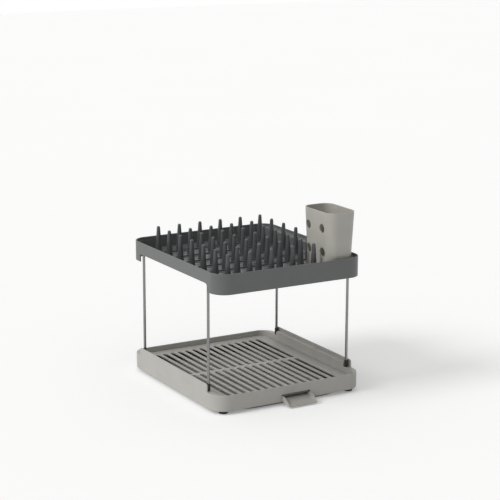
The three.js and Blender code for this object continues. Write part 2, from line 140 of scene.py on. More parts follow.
class RackColours(bpy.types.PropertyGroup):
    """Colours of the plastics, steel and rubber."""

    taupe: colour("Lower tray", "Plastic of the lower tray, panel and spout", (0.43, 0.420, 0.388))
    cup: colour("Cup", "Plastic of the cutlery cup", (0.44, 0.424, 0.385))
    charcoal: colour("Upper tray", "Plastic of the upper tray", (0.124, 0.130, 0.128))
    spike: colour("Spikes", "Plastic of the spikes", (0.078, 0.082, 0.085))
    steel: colour("Wire", "Steel of the legs", (0.26, 0.26, 0.256))
    tip: colour("Leg tips", "Plastic of the leg tips", (0.022, 0.022, 0.022))
    rubber: colour("Feet", "Rubber of the feet", (0.026, 0.025, 0.023))
    floor: colour("Floor", "Plain pale floor", (0.90, 0.90, 0.895))


# Shader node groups


def new_tree(name, kind, inputs, outputs):
    """A node tree, its input and output nodes; sockets are named as {name: (kind, default)}."""
    tree = bpy.data.node_groups.new(name, kind)
    for in_out, sockets in (("INPUT", inputs), ("OUTPUT", outputs)):
        for label, (socket_kind, default) in sockets.items():
            socket = tree.interface.new_socket(
                label, in_out=in_out, socket_type="NodeSocket" + socket_kind)
            if default is not None:
                socket.default_value = default
    return tree, tree.nodes.new("NodeGroupInput"), tree.nodes.new("NodeGroupOutput")


def shared_tree(maker):
    """The node tree of a maker, built at its first use and named after it."""
    name = maker.__name__
    return bpy.data.node_groups.get(name) or maker(name)


def shader_group(name, values, *outputs):
    """A shader node group with a Vector input, inputs for its values and number outputs."""
    inputs = {"Vector": ("Vector", None)}
    inputs.update((label, ("Float", default)) for label, default in values.items())
    return new_tree(name, "ShaderNodeTree", inputs, {label: ("Float", None) for label in outputs})


def add_node(tree, kind, settings=None, values=None, links=None):
    """A node with its settings, socket values and incoming links."""
    made = tree.nodes.new(kind)
    for key, value in (settings or {}).items():
        setattr(made, key, value)
    for key, value in (values or {}).items():
        made.inputs[key].default_value = value
    for key, source in (links or {}).items():
        tree.links.new(source, made.inputs[key])
    return made


def maths(tree, operation, first, second=None, clamp=False):
    """A Math node whose operands are sockets or plain numbers."""
    made = tree.nodes.new("ShaderNodeMath")
    made.operation = operation
    made.use_clamp = clamp
    for place, value in enumerate((first, second)):
        if value is None:
            continue
        if isinstance(value, (int, float)):
            made.inputs[place].default_value = value
        else:
            tree.links.new(value, made.inputs[place])
    return made.outputs[0]


def noise(tree, vector, size, detail, roughness=0.5):
    """Noise from 0 to 1 whose features are about size metres across; size is a socket."""
    scale = maths(tree, "DIVIDE", 1.0, size)
    made = add_node(tree, "ShaderNodeTexNoise", values={"Detail": detail, "Roughness": roughness},
                    links={"Vector": vector, "Scale": scale})
    return made.outputs["Fac"]


def stretched(tree, value, low, high):
    """What lies between low and high, spread over 0 to 1."""
    made = add_node(tree, "ShaderNodeMapRange", values={"From Min": low, "From Max": high},
                    links={"Value": value})
    return made.outputs[0]


def moulded_grain(name):
    """Fine grain of a satin mould, with slow waves as plastic has after it shrinks."""
    tree, inside, outside = shader_group(
        name, {"Grain Size": 0.0005, "Wave Size": 0.03, "Wave Share": 0.3}, "Height", "Mottle")
    grain = noise(tree, inside.outputs["Vector"], inside.outputs["Grain Size"], 3.0, 0.6)
    wave = noise(tree, inside.outputs["Vector"], inside.outputs["Wave Size"], 2.0)
    waves = maths(tree, "MULTIPLY", wave, inside.outputs["Wave Share"])
    tree.links.new(maths(tree, "ADD", grain, waves), outside.inputs["Height"])
    tree.links.new(stretched(tree, wave, 0.3, 0.7), outside.inputs["Mottle"])
    return tree


def edge_wear(name):
    """Mask of edges and corners, where plastic pales with wear and a painted highlight."""
    tree, inside, outside = shader_group(name, {"Radius": 0.0012, "Strength": 3.0}, "Edge")
    bevel = add_node(tree, "ShaderNodeBevel", {"samples": 6},
                     links={"Radius": inside.outputs["Radius"]})
    surface = add_node(tree, "ShaderNodeNewGeometry")
    turn = add_node(tree, "ShaderNodeVectorMath", {"operation": "DOT_PRODUCT"},
                    links={0: bevel.outputs["Normal"], 1: surface.outputs["Normal"]})
    bend = maths(tree, "SUBTRACT", 1.0, turn.outputs["Value"])
    strong = maths(tree, "MULTIPLY", bend, inside.outputs["Strength"], clamp=True)
    patchy = noise(tree, inside.outputs["Vector"], inside.outputs["Radius"], 2.0)
    tree.links.new(maths(tree, "MULTIPLY", strong, patchy, clamp=True), outside.inputs["Edge"])
    return tree


def settled_film(name):
    """Mask of the thin film that drying water leaves on faces that look up."""
    tree, inside, outside = shader_group(name, {"Patch Size": 0.012}, "Film")
    surface = add_node(tree, "ShaderNodeNewGeometry")
    axes = add_node(tree, "ShaderNodeSeparateXYZ", links={0: surface.outputs["Normal"]})
    upward = maths(tree, "MAXIMUM", axes.outputs["Z"], 0.0)
    patches = noise(tree, inside.outputs["Vector"], inside.outputs["Patch Size"], 4.0, 0.65)
    film = maths(tree, "MULTIPLY", upward, stretched(tree, patches, 0.42, 0.75), clamp=True)
    tree.links.new(film, outside.inputs["Film"])
    return tree


def drawn_lines(name):
    """Fine lines along drawn wire, for its height and its gloss."""
    tree, inside, outside = shader_group(
        name, {"Line Size": 0.0003, "Stretch": 0.04}, "Height", "Gloss")
    squeeze = add_node(tree, "ShaderNodeCombineXYZ", values={"X": 1.0},
                       links={"Y": inside.outputs["Stretch"], "Z": inside.outputs["Stretch"]})
    drawn = add_node(tree, "ShaderNodeVectorMath", {"operation": "MULTIPLY"},
                     links={0: inside.outputs["Vector"], 1: squeeze.outputs[0]})
    lines = noise(tree, drawn.outputs[0], inside.outputs["Line Size"], 4.0, 0.6)
    tree.links.new(lines, outside.inputs["Height"])
    tree.links.new(stretched(tree, lines, 0.35, 0.65), outside.inputs["Gloss"])
    return tree


def inside_basin(name):
    """Mask of the basin and plinth below the slotted panel, for painted shade."""
    tree, inside, outside = shader_group(
        name, {"Half Width": 0.136, "Half Depth": 0.161, "Top": 0.022}, "Inside")
    place = add_node(tree, "ShaderNodeSeparateXYZ", links={0: inside.outputs["Vector"]})
    across = maths(tree, "ABSOLUTE", place.outputs["X"])
    along = maths(tree, "ABSOLUTE", maths(tree, "SUBTRACT", place.outputs["Y"], MIDDLE_Y))
    mask = maths(tree, "LESS_THAN", place.outputs["Z"], inside.outputs["Top"])
    for value, limit in ((across, "Half Width"), (along, "Half Depth")):
        below = maths(tree, "LESS_THAN", value, inside.outputs[limit])
        mask = maths(tree, "MULTIPLY", mask, below)
    tree.links.new(mask, outside.inputs["Inside"])
    return tree


def place_group(tree, maker, vector, values):
    """A shared group placed in a material with the material's own values."""
    made = tree.nodes.new("ShaderNodeGroup")
    made.node_tree = shared_tree(maker)
    tree.links.new(vector, made.inputs["Vector"])
    for key, value in values.items():
        made.inputs[key].default_value = value
    return made


def mix_colours(tree, share, first, second):
    """Colour first shading into colour second by a mask; each is a socket or a plain colour."""
    made = tree.nodes.new("ShaderNodeMix")
    made.data_type = "RGBA"
    tree.links.new(share, made.inputs["Factor"])
    for label, value in (("A", first), ("B", second)):
        socket = next(s for s in made.inputs if s.name == label and s.type == "RGBA")
        if isinstance(value, tuple):
            socket.default_value = value
        else:
            tree.links.new(value, socket)
    return next(s for s in made.outputs if s.type == "RGBA")


def shade(base, factor):
    """A colour made lighter or darker, with alpha."""
    return tuple(min(1.0, channel * factor) for channel in base) + (1.0,)


def new_material(name, base, metallic=0.0):
    """An empty material with its Principled shader and object coordinates."""
    made = bpy.data.materials.new(name)
    made.use_nodes = True
    made.diffuse_color = shade(base, 1.0)
    tree = made.node_tree
    shader = tree.nodes["Principled BSDF"]
    shader.inputs["Metallic"].default_value = metallic
    place = tree.nodes.new("ShaderNodeTexCoord")
    return made, tree, shader, place.outputs["Object"]


def bump(tree, shader, height, distance, strength):
    """Height in metres for the shader's normal."""
    made = add_node(tree, "ShaderNodeBump", values={"Distance": distance, "Strength": strength},
                    links={"Height": height})
    tree.links.new(made.outputs["Normal"], shader.inputs["Normal"])


def roughness_between(tree, shader, mask, low, high):
    """Roughness that runs from low to high with a mask."""
    made = add_node(tree, "ShaderNodeMapRange", values={"To Min": low, "To Max": high},
                    links={"Value": mask})
    tree.links.new(made.outputs[0], shader.inputs["Roughness"])


def moulded_plastic(name, base, roughness, grain, pale, film):
    """Satin plastic with grain, edges paled by wear and painted highlight, and dried water."""
    made, tree, shader, place = new_material(name, base)
    texture = place_group(tree, moulded_grain, place, {"Grain Size": grain, "Wave Size": 0.028})
    worn_and_highlit = place_group(tree, edge_wear, place, {"Radius": 0.0011, "Strength": 2.6})
    dried = place_group(tree, settled_film, place, {"Patch Size": 0.011})
    body = mix_colours(tree, texture.outputs["Mottle"], shade(base, 0.965), shade(base, 1.035))
    # Edges pale towards 2.1 times the colour: partly wear, partly a painted highlight on lit
    # edges.
    edges_worn_and_highlit = mix_colours(tree, maths(tree, "MULTIPLY", worn_and_highlit.outputs["Edge"], pale),
                        body, shade(base, 2.1))
    filmed = mix_colours(tree, maths(tree, "MULTIPLY", dried.outputs["Film"], film),
                         edges_worn_and_highlit, WATER_MARK)
    tree.links.new(filmed, shader.inputs["Base Color"])
    roughness_between(tree, shader, texture.outputs["Height"], roughness - 0.05, roughness + 0.07)
    bump(tree, shader, texture.outputs["Height"], 0.00004, 0.5)
    return made


def lower_tray_plastic(name, base, *finish):
    """The lower tray's plastic, with painted shade in the basin below the panel."""
    sizes = bpy.context.scene.rack_sizes
    made = moulded_plastic(name, base, *finish)
    tree = made.node_tree
    shader = tree.nodes["Principled BSDF"]
    colour_before_shade = shader.inputs["Base Color"].links[0].from_socket
    place = tree.nodes.new("ShaderNodeTexCoord")
    beyond = 0.0002
    basin = place_group(tree, inside_basin, place.outputs["Object"], {
        "Half Width": sizes.side_wall_inner - sizes.ledge + sizes.wall + beyond,
        "Half Depth": (TRAY[1].y - TRAY[0].y) / 2 - sizes.ledge + beyond,
        "Top": PANEL[0].z - PLAY - beyond})
    # Painted shade: the basin and plinth below the panel take 0.35 of the plastic's colour.
    tree.links.new(mix_colours(tree, basin.outputs["Inside"], colour_before_shade, shade(base, 0.35)),
                   shader.inputs["Base Color"])
    return made


def drawn_steel(name, base):
    """Polished drawn wire with fine lines along it."""
    made, tree, shader, place = new_material(name, base, metallic=1.0)
    lines = place_group(tree, drawn_lines, place, {"Line Size": 0.0003})
    cloud = place_group(tree, moulded_grain, place, {"Grain Size": 0.002, "Wave Size": 0.02})
    body = mix_colours(tree, cloud.outputs["Mottle"], shade(base, 0.93), shade(base, 1.05))
    tree.links.new(body, shader.inputs["Base Color"])
    roughness_between(tree, shader, lines.outputs["Gloss"], 0.22, 0.34)
    bump(tree, shader, lines.outputs["Height"], 0.00002, 0.4)
    return made


def soft_rubber(name, base):
    """Matt rubber with a fine, uneven skin."""
    made, tree, shader, place = new_material(name, base)
    skin = place_group(tree, moulded_grain, place, {"Grain Size": 0.0008, "Wave Size": 0.006})
    dried = place_group(tree, settled_film, place, {"Patch Size": 0.004})
    body = mix_colours(tree, skin.outputs["Mottle"], shade(base, 0.85), shade(base, 1.2))
    filmed = mix_colours(tree, maths(tree, "MULTIPLY", dried.outputs["Film"], 0.15),
                         body, DULL_WATER_MARK)
    tree.links.new(filmed, shader.inputs["Base Color"])
    roughness_between(tree, shader, skin.outputs["Height"], 0.72, 0.9)
    bump(tree, shader, skin.outputs["Height"], 0.00008, 0.6)
    return made


FINISHES = {  # maker, colour, then a plastic's roughness, grain size, pale edges (wear and painted highlight), water film
    "taupe_plastic": (lower_tray_plastic, "taupe", 0.42, 0.0005, 0.35, 0.10),
    "cup_plastic": (moulded_plastic, "cup", 0.36, 0.0004, 0.30, 0.06),
    "charcoal_plastic": (moulded_plastic, "charcoal", 0.36, 0.00045, 1.0, 0.045),
    "spike_plastic": (moulded_plastic, "spike", 0.30, 0.0004, 0.35, 0.03),
    "tip_plastic": (moulded_plastic, "tip", 0.45, 0.0004, 0.3, 0.02),
    "leg_steel": (drawn_steel, "steel"),
    "foot_rubber": (soft_rubber, "rubber"),
}


def finish_of(slot):
    """The finish for one of the record's slots, built at its first use."""
    name = slot + "_finish"
    if name in bpy.data.materials:
        return bpy.data.materials[name]
    maker, tint, *values = FINISHES[slot]
    return maker(name, tuple(getattr(bpy.context.scene.rack_colours, tint)), *values)


# Mesh helpers


def ring(half_x, half_y, radius, level, steps=10):
    """Points of a level rounded rectangle about the trays' middle."""
    points = []
    for quarter, (sign_x, sign_y) in enumerate(((1, 1), (-1, 1), (-1, -1), (1, -1))):
        for step in range(steps + 1):
            angle = math.pi / 2 * (quarter + step / steps)
            points.append(Vector((sign_x * (half_x - radius) + radius * math.cos(angle),
                                  sign_y * (half_y - radius) + radius * math.sin(angle), level)))
    return points


def inset_rings(half_x, half_y, corner, profile, steps=10, least=0.0):
    """Rounded rectangles, each set in and raised as a profile's (inset, level) says."""
    return [ring(half_x - inset, half_y - inset, max(corner - inset, least), level, steps)
            for inset, level in profile]


def circle(radius, level, steps=32):
    """Points of a level circle about the Z axis."""
    turns = [2 * math.pi * step / steps for step in range(steps)]
    return [Vector((radius * math.cos(turn), radius * math.sin(turn), level)) for turn in turns]


def rounded_path(points, radii, steps=4):
    """A path of 2D points whose corners are rounded by the radii; the two ends stay."""
    path = [Vector(points[0])]
    for before, corner, after, radius in zip(points, points[1:], points[2:], radii):
        corner, before, after = Vector(corner), Vector(before), Vector(after)
        if radius == 0:
            path.append(corner)
            continue
        back, on = (before - corner).normalized(), (after - corner).normalized()
        opening = math.acos(max(-1.0, min(1.0, back.dot(on))))
        reach = radius / math.tan(opening / 2)
        centre = corner + (back + on).normalized() * (radius / math.sin(opening / 2))
        first, last = corner + back * reach - centre, corner + on * reach - centre
        total = first.angle(last)
        for step in range(steps + 1):
            share = step / steps
            blend = (first * math.sin((1 - share) * total) + last * math.sin(share * total))
            path.append(centre + blend / math.sin(total))
    path.append(Vector(points[-1]))
    return path


def flap_outline(half, high, low, radius, steps):
    """Outline in (Y, Z) about the trays' middle, with its upper corners rounded."""
    path = rounded_path([(0, high), (half, high), (half, low), (0, low)], [radius, 0], steps)
    return [(MIDDLE_Y + y, z) for y, z in path] + [(MIDDLE_Y - y, z) for y, z in path[-2:0:-1]]


def loft(name, rings, move=(0, 0, 0)):
    """A closed skin through rings of equal count, capped at both ends."""
    mesh = bpy.data.meshes.new(name)
    shell = bmesh.new()
    loops = [[shell.verts.new(point + Vector(move)) for point in points] for points in rings]
    for low, high in zip(loops, loops[1:]):
        for place in range(len(low)):
            after = (place + 1) % len(low)
            shell.faces.new((low[place], low[after], high[after], high[place]))
    shell.faces.new(loops[0][::-1])
    shell.faces.new(loops[-1])
    bmesh.ops.remove_doubles(shell, verts=shell.verts, dist=1e-7)
    bmesh.ops.dissolve_degenerate(shell, edges=shell.edges, dist=1e-7)
    bmesh.ops.recalc_face_normals(shell, faces=shell.faces)
    shell.to_mesh(mesh)
    shell.free()
    return add_object(name, mesh)


def prism(name, outline, low, high):
    """A closed solid from an outline of (Y, Z) points carried along X from low to high."""
    rings = [[Vector((x, point[0], point[1])) for point in outline] for x in (low, high)]
    return loft(name, rings)


def lathe(name, path, steps=32, move=(0, 0, 0)):
    """A closed turned solid from a path of (radius, height) points between two flat ends."""
    return loft(name, [circle(point[0], point[1], steps) for point in path], move)


def add_object(name, mesh):
    """A new object for a mesh, at the origin."""
    made = bpy.data.objects.new(name, mesh)
    bpy.context.scene.collection.objects.link(made)
    return made


def settle(piece):
    """Applies what modifiers do, so that the piece is a plain mesh."""
    bpy.context.view_layer.update()
    graph = bpy.context.evaluated_depsgraph_get()
    mesh = bpy.data.meshes.new_from_object(piece.evaluated_get(graph), depsgraph=graph)
    piece.modifiers.clear()
    old, piece.data = piece.data, mesh
    bpy.data.meshes.remove(old)
    return piece


def combine(piece, other, operation):
    """Joins another solid to a piece, or cuts it out, and removes the other."""
    step = piece.modifiers.new("combine", "BOOLEAN")
    step.operation = operation
    step.solver = "MANIFOLD"
    step.object = other
    settle(piece)
    bpy.data.objects.remove(other)
    return piece


def soften(piece, width, segments=2, angle=40):
    """Rounds the edges that are still sharp."""
    step = piece.modifiers.new("soften", "BEVEL")
    step.width = width
    step.segments = segments
    step.limit_method = "ANGLE"
    step.angle_limit = math.radians(angle)
    step.use_clamp_overlap = True
    return settle(piece)


def complete(piece, name, slot, body, *nodes):
    """Smooths a piece, gives it its finish and name, and puts it in the place of its nodes."""
    mesh = piece.data
    mesh.polygons.foreach_set("use_smooth", [True] * len(mesh.polygons))
    mesh.set_sharp_from_angle(angle=math.radians(42))
    weights = piece.modifiers.new("weights", "WEIGHTED_NORMAL")
    weights.keep_sharp = True
    weights.weight = 80
    settle(piece)
    piece.name = name
    piece.data.name = name
    piece.data.materials.clear()
    piece.data.materials.append(finish_of(slot))
    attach(piece, body)
    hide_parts(*nodes)
    return piece


# Geometry node trees


def geometry_tree(name, **inputs):
    """A geometry node tree with a mesh, a material and inputs such as Bend_Steps."""
    named = {label.replace("_", " "): socket for label, socket in inputs.items()}
    sockets = {"Geometry": ("Geometry", None), **named, "Material": ("Material", None)}
    return new_tree(name, "GeometryNodeTree", sockets, {"Geometry": ("Geometry", None)})


def finish_tree(tree, inside, outside, geometry):
    """Ends a tree in Realize Instances and Set Material."""
    real = add_node(tree, "GeometryNodeRealizeInstances", links={"Geometry": geometry})
    painted = add_node(tree, "GeometryNodeSetMaterial", links={
        "Geometry": real.outputs[0], "Material": inside.outputs["Material"]})
    tree.links.new(painted.outputs[0], outside.inputs[0])
    return tree


def grid_of_copies(name):
    """Copies of the piece's own mesh on a grid of columns and rows."""
    tree, inside, outside = geometry_tree(
        name, Columns=("Int", 2), Column_Step=("Vector", None), Rows=("Int", 1),
        Row_Step=("Vector", None), First_Place=("Vector", None))
    columns = add_node(tree, "GeometryNodeMeshLine", {"mode": "OFFSET"}, links={
        "Count": inside.outputs["Columns"], "Start Location": inside.outputs["First Place"],
        "Offset": inside.outputs["Column Step"]})
    rows = add_node(tree, "GeometryNodeMeshLine", {"mode": "OFFSET"}, links={
        "Count": inside.outputs["Rows"], "Offset": inside.outputs["Row Step"]})
    line = add_node(tree, "GeometryNodeInstanceOnPoints", links={
        "Points": columns.outputs[0], "Instance": inside.outputs["Geometry"]})
    grid = add_node(tree, "GeometryNodeInstanceOnPoints", links={
        "Points": rows.outputs[0], "Instance": line.outputs[0]})
    return finish_tree(tree, inside, outside, grid.outputs[0])


def bent_wire(name):
    """A round wire along the piece's own chain of edges, with rounded bends."""
    tree, inside, outside = geometry_tree(
        name, Wire_Radius=("Float", 0.0025), Bend_Radius=("Float", 0.009),
        Bend_Steps=("Int", 12), Sides=("Int", 24))
    path = add_node(tree, "GeometryNodeMeshToCurve", links={"Mesh": inside.outputs["Geometry"]})
    bends = add_node(tree, "GeometryNodeFilletCurve", {"mode": "POLY"}, links={
        "Curve": path.outputs[0], "Count": inside.outputs["Bend Steps"],
        "Radius": inside.outputs["Bend Radius"]})
    section = add_node(tree, "GeometryNodeCurvePrimitiveCircle", {"mode": "RADIUS"}, links={
        "Resolution": inside.outputs["Sides"], "Radius": inside.outputs["Wire Radius"]})
    swept = add_node(tree, "GeometryNodeCurveToMesh", values={"Fill Caps": True}, links={
        "Curve": bends.outputs[0], "Profile Curve": section.outputs[0]})
    return finish_tree(tree, inside, outside, swept.outputs[0])


def grow(piece, maker, values):
    """Runs a geometry node tree on a piece, and makes the result a plain mesh."""
    tree = shared_tree(maker)
    step = piece.modifiers.new(tree.name, "NODES")
    step.node_group = tree
    sockets = {item.name: item.identifier for item in tree.interface.items_tree
               if item.in_out == "INPUT"}
    for label, value in values.items():
        step[sockets[label]] = value
    return settle(piece)


def copies(piece, columns, column_step, rows, row_step, first, slot):
    """The piece repeated on a grid."""
    return grow(piece, grid_of_copies, {
        "Columns": columns, "Column Step": column_step, "Rows": rows, "Row Step": row_step,
        "First Place": first, "Material": finish_of(slot)})


def slot_cutter(name, length, width, bottom, top, round_edge):
    """A long slot's solid, flared at the top so that the slot's upper edge is rounded."""
    radius = width / 2
    straight = length / 2 - radius
    rings = []
    flare = [(0.0, top - round_edge)]
    flare += [(round_edge * (1 - math.cos(angle)), top - round_edge * (1 - math.sin(angle)))
              for angle in (math.pi / 8, math.pi / 4, math.pi * 3 / 8, math.pi / 2)]
    for extra, level in [(0.0, bottom)] + flare + [(round_edge, top + 0.002)]:
        points = []
        for sign, start in ((1, 0.0), (-1, math.pi)):
            for step in range(9):
                angle = start + math.pi * step / 8
                wide = radius + extra
                points.append(Vector((wide * math.cos(angle),
                                      sign * straight + wide * math.sin(angle), level)))
        rings.append(points)
    return loft(name, rings)


# Lower tier


def tray_shell(sizes):
    """Skirt, ledge, basin and plinth of the lower tray in one skin."""
    half_x, half_y = TRAY[1].x, (TRAY[1].y - TRAY[0].y) / 2
    corner, edge, wall = sizes.corner_radius, sizes.edge_radius, sizes.wall
    bottom, ledge, floor = sizes.skirt_clearance, PANEL[0].z - PLAY, sizes.basin_depth
    inner_x, inner_y = sizes.side_wall_inner, half_y - wall
    basin_x, basin_y = inner_x - sizes.ledge, inner_y - sizes.ledge
    plinth_x, plinth_y = basin_x + wall, basin_y + wall
    recess_corner = corner - (half_x - inner_x)
    inner_plinth_corner = recess_corner - sizes.ledge + wall
    cap, turn = 0.02, 0.002  # how far a flat end reaches in, and a rim's top to its middle
    basin = rounded_path([(cap, floor), (0, floor), (0, ledge)], [0.004])
    inner = rounded_path([(0, ledge), (0, RIM_LEVEL), (-turn, RIM_LEVEL)], [edge])
    outer = rounded_path(
        [(turn, RIM_LEVEL), (0, RIM_LEVEL), (0, bottom), (wall, bottom)], [edge, edge * 1.6])
    plinth = rounded_path([(0, bottom), (0, TRAY[0].z), (cap, TRAY[0].z)], [0.0012])
    rings = inset_rings(basin_x, basin_y, sizes.basin_corner, basin, least=0.002)
    rings += inset_rings(inner_x, inner_y, recess_corner, inner[:-1])
    rings += inset_rings(half_x, half_y, corner, outer[1:])
    rings += [ring(half_x - wall, half_y - wall, corner - wall, ledge - wall),
              ring(plinth_x, plinth_y, inner_plinth_corner, ledge - wall),
              ring(plinth_x, plinth_y, inner_plinth_corner, bottom)]
    rings += inset_rings(plinth_x, plinth_y, sizes.plinth_corner, plinth[:-1])
    return loft("tray_shell", rings, (0, MIDDLE_Y, 0))


def side_wall(sizes, sign):
    """Raised wall of one long side: a shelf behind the thin lip that guards the wires."""
    low, radius, outer = RIM_LEVEL - 0.007, 0.005, TRAY[1].x
    shelf_top = TRAY[1].z - sizes.shelf_drop
    shelf = prism("side_shelf", flap_outline(sizes.side_wall_end, shelf_top, low, radius, 6),
                  sign * sizes.side_wall_inner, sign * outer)
    soften(shelf, 0.002, 4)
    lip = prism("side_lip", flap_outline(sizes.lip_end, TRAY[1].z, low, radius, 6),
                sign * sizes.lip_inner, sign * outer)
    soften(lip, 0.0009, 3)
    return combine(shelf, lip, "UNION")


def spout_window(sizes):
    """The slanted opening in the front wall that the spout slides through."""
    half_width = (SPOUT[1].x - SPOUT[0].x) / 2 - 0.0025
    middle = (SPOUT[0].x + SPOUT[1].x) / 2
    near, far, low, high = -0.006, 0.012, -0.0005, sizes.spout_height + 0.0025
    path = on_spout_line(sizes, [(near, low), (far, low), (far, high), (near, high)])
    return prism("spout_window", path, middle - half_width, middle + half_width)


def on_spout_line(sizes, corners):
    """(Y, Z) points from distances in from the front wall and heights on the slanted spout."""
    down, along = math.sin(sizes.spout_slope), math.cos(sizes.spout_slope)
    return [(TRAY[0].y + reach * along - up * down,
             sizes.spout_root + reach * down + up * along) for reach, up in corners]


class RACK_OT_drip_tray(bpy.types.Operator):
    """Builds the lower tray with its side walls and spout opening"""

    bl_idname = "rack.drip_tray"
    bl_label = "Lower tray"

    def execute(self, context):
        sizes = context.scene.rack_sizes
        tray = tray_shell(sizes)
        for _, sign in SIDES:
            combine(tray, side_wall(sizes, sign), "UNION")
        combine(tray, spout_window(sizes), "DIFFERENCE")
        complete(tray, "lower_tray_shell", "taupe_plastic", "lower_tray", "drip_tray")
        return {"FINISHED"}


class RACK_OT_drain_panel(bpy.types.Operator):
    """Builds the slotted panel that lies in the lower tray"""

    bl_idname = "rack.drain_panel"
    bl_label = "Slotted panel"

    def execute(self, context):
        sizes = context.scene.rack_sizes
        half_x, half_y = PANEL[1].x, (PANEL[1].y - PANEL[0].y) / 2
        corner, edge, cap = sizes.corner_radius - (TRAY[1].x - half_x), 0.0006, 0.01
        low, high = PANEL[0].z, PANEL[1].z
        profile = rounded_path([(cap, low), (0, low), (0, high), (cap, high)], [edge, edge])
        rings = inset_rings(half_x, half_y, corner, profile)
        panel = loft("drain_panel_sheet", rings, (0, MIDDLE_Y, 0))
        long = half_y - sizes.slot_end_margin - sizes.slot_bar / 2
        cutter = slot_cutter("slots", long, sizes.slot_width, low - 0.002, high, 0.0004)
        outer = sizes.side_wall_inner - sizes.slot_side_margin - sizes.slot_width / 2
        group = long + sizes.slot_bar
        copies(cutter, sizes.slot_count, (outer * 2 / (sizes.slot_count - 1), 0, 0), 2,
               (0, group, 0), (-outer, MIDDLE_Y - group / 2, 0), "taupe_plastic")
        combine(panel, cutter, "DIFFERENCE")
        complete(panel, "slotted_drain_panel", "taupe_plastic", "panel", "drain_panel")
        return {"FINISHED"}


class RACK_OT_spout(bpy.types.Operator):
    """Builds the open pouring spout"""

    bl_idname = "rack.spout"
    bl_label = "Spout"

    def execute(self, context):
        sizes = context.scene.rack_sizes
        middle = (SPOUT[0].x + SPOUT[1].x) / 2
        stop_half = (SPOUT[1].x - SPOUT[0].x) / 2
        half_width = stop_half - 0.003
        wall, height, inner = sizes.spout_wall, sizes.spout_height, sizes.spout_inner_height
        slope, front, lip, beyond = sizes.spout_slope, -0.025, 0.003, 0.004
        stop = (sizes.wall + sizes.ledge + PLAY + inner * math.sin(slope)) / math.cos(slope)
        end = stop + wall

        def solid(name, half, corners):
            return prism(name, on_spout_line(sizes, corners), middle - half, middle + half)

        chute = solid("spout_chute", half_width, [
            (end, 0), (end, inner), (0, height), (-0.008, height), (front, lip), (front, 0)])
        shut = solid("spout_stop", stop_half, [(stop, 0), (end, 0), (end, inner), (stop, inner)])
        channel = solid("spout_channel", half_width - wall, [
            (front - beyond, wall), (stop + beyond, wall), (stop + beyond, height + beyond),
            (front - beyond, height + beyond)])
        soften(channel, 0.0016, 4, 60)
        combine(chute, shut, "UNION")
        combine(chute, channel, "DIFFERENCE")
        soften(chute, 0.0006, 3, 50)
        complete(chute, "pouring_spout", "taupe_plastic", "spout", "drain_spout")
        return {"FINISHED"}


class RACK_OT_feet(bpy.types.Operator):
    """Builds the four rubber feet"""

    bl_idname = "rack.feet"
    bl_label = "Rubber feet"

    def execute(self, context):
        for side, end, _ in CORNERS:
            node = f"{side}_{end}_foot_pad"
            low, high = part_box(node)
            radius, pole, middle = (high.x - low.x) / 2, 0.0005, (low + high) / 2
            path = rounded_path(
                [(pole, 0), (radius, 0), (radius, high.z), (pole, high.z)], [0.0013, 0.0005], 5)
            pad = lathe(node + "_turned", path, 36, (middle.x, middle.y, 0))
            complete(pad, f"{side}_{end}_rubber_foot", "foot_rubber", "lower_tray", node)
        return {"FINISHED"}


# Upper tier


def upper_shell(sizes):
    """Rim, side shelves and deep tub of the upper tray in one skin."""
    half_x, half_y = UPPER[1].x, (UPPER[1].y - UPPER[0].y) / 2
    top, bottom = UPPER[1].z, UPPER[0].z
    wall, edge = sizes.rim_wall, sizes.edge_radius
    shelf, deck = top - sizes.shelf_depth, top - sizes.deck_depth
    cap = 0.012  # how far a flat end reaches in; less than the tub's corner radius
    profile = rounded_path(
        [(cap, shelf), (wall, shelf), (wall, top), (0, top), (0, bottom), (wall, bottom),
         (wall, shelf - wall), (cap, shelf - wall)],
        [0.0012, edge, edge, 0.0005, 0.0005, 0])
    shell = loft("upper_shell", inset_rings(half_x, half_y, sizes.corner_radius, profile, 12),
                 (0, MIDDLE_Y, 0))
    tub_x = half_x - wall - sizes.side_shelf
    tub_corner = sizes.corner_radius - wall - sizes.side_shelf
    under, mouth, above = deck - sizes.deck_thickness, 0.0008, 0.004
    outside = inset_rings(
        tub_x + wall, half_y - wall / 2, tub_corner + wall,
        rounded_path([(cap, under), (0, under), (0, shelf - wall / 2)], [0.0009]), 12)
    combine(shell, loft("tub_outside", outside, (0, MIDDLE_Y, 0)), "UNION")
    basin = rounded_path([(cap, deck), (0, deck), (0, shelf), (-0.001, shelf)], [0.0025, mouth])
    inside = inset_rings(tub_x, half_y - wall, tub_corner, basin[:-1], 12, 0.001)
    inside += [ring(tub_x + mouth, half_y - wall, tub_corner + mouth, level, 12)
               for level in (shelf, shelf + above)]
    return combine(shell, loft("tub_inside", inside, (0, MIDDLE_Y, 0)), "DIFFERENCE")


def side_cut_out(sizes, sign):
    """The cut-out under the rim of one side, with rounded corners."""
    low, high = UPPER[0].z - 0.01, UPPER[0].z + sizes.cut_height
    outline = flap_outline(sizes.cut_half_span, high, low, sizes.cut_corner, 8)
    inward, outward = 0.0038, 0.004
    return prism("side_cut_out", outline, sign * (UPPER[1].x - inward),
                 sign * (UPPER[1].x + outward))


